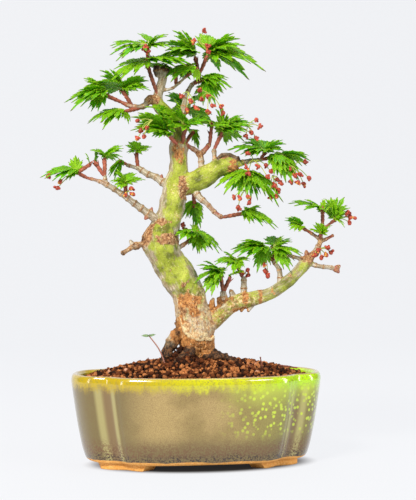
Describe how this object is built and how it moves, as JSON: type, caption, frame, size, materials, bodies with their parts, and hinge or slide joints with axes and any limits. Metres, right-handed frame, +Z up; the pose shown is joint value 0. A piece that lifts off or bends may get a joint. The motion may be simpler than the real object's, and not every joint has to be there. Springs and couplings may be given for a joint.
{
  "type": "bonsai tree in a pot",
  "caption": "Small deciduous maple bonsai with a curved trunk, deeply cut leaves and red flower buds, rooted in soil in a glazed four-lobed pot on corner feet.",
  "frame": {"origin": "under the middle of the whole plant's box, on the surface that the pot stands on", "axes": "+Z up, +X along the pot's length with the low long limb reaching towards +X, -Y towards the front"},
  "size_m": [0.25, 0.116, 0.3457],
  "materials": {
    "glaze": "glossy straw glaze with yellow-green rim and rusty foot",
    "earth": "loose red-brown grains",
    "grit": "coarse rounded grit",
    "bark": "green-tan bark with corky cracks",
    "leaf": "fresh green, slightly waxy",
    "red_bud": "satin red",
    "seedling_green": "soft grey-green leaves on a pink stem",
    "dry_twig": "dry reddish brown",
    "screen_plastic": "matte dark plastic mesh",
    "wire": "brown anodised wire"
  },
  "bodies": {
    "root": {"tree_wood": "bark", "screen_clip_left": "wire", "screen_clip_right": "wire", "drain_screen_left": "screen_plastic", "drain_screen_right": "screen_plastic", "pot": "glaze", "drainage_grit": "grit", "seedling": "seedling_green", "fallen_twig": "dry_twig", "soil": "earth", "flowers_crown_left": "red_bud", "flowers_crown_right": "red_bud", "flowers_centre_left": "red_bud", "flowers_centre_right": "red_bud", "flowers_right_mass_tip": "red_bud", "flowers_left_pendant": "red_bud", "flowers_right_upper": "red_bud", "flowers_right_lower": "red_bud", "flowers_right_outer": "red_bud", "flowers_right_far": "red_bud", "flowers_lower_group": "red_bud", "flowers_left_tip": "red_bud", "flowers_left_branch": "red_bud", "flowers_trunk_right": "red_bud", "flowers_limb_near": "red_bud", "flowers_limb_middle": "red_bud", "flowers_end_low": "red_bud", "flowers_end_right": "red_bud", "leaves_apex_left": "leaf", "leaves_apex_middle": "leaf", "leaves_crown_twig": "leaf", "leaves_crown_right": "leaf", "leaves_right_fan": "leaf", "leaves_left_fan_outer": "leaf", "leaves_left_fan_inner": "leaf", "leaves_left_under": "leaf", "leaves_centre_left": "leaf", "leaves_centre_mid": "leaf", "leaves_centre_back": "leaf", "leaves_centre_hollow": "leaf", "leaves_right_mass": "leaf", "leaves_right_mass_inner": "leaf", "leaves_right_upper": "leaf", "leaves_right_outer": "leaf", "leaves_right_lower": "leaf", "leaves_drooping_end": "leaf", "leaves_behind_trunk": "leaf", "leaves_trunk_right": "leaf", "leaves_left_tip": "leaf", "leaves_left_mid": "leaf", "leaves_left_branch": "leaf", "leaves_upper_left": "leaf", "leaves_upper_left_side": "leaf", "leaves_limb_near_left": "leaf", "leaves_limb_near_top": "leaf", "leaves_limb_middle": "leaf", "leaves_end_centre": "leaf", "leaves_end_top": "leaf", "leaves_end_right": "leaf", "leaves_end_left": "leaf"}
  },
  "joints": []
}
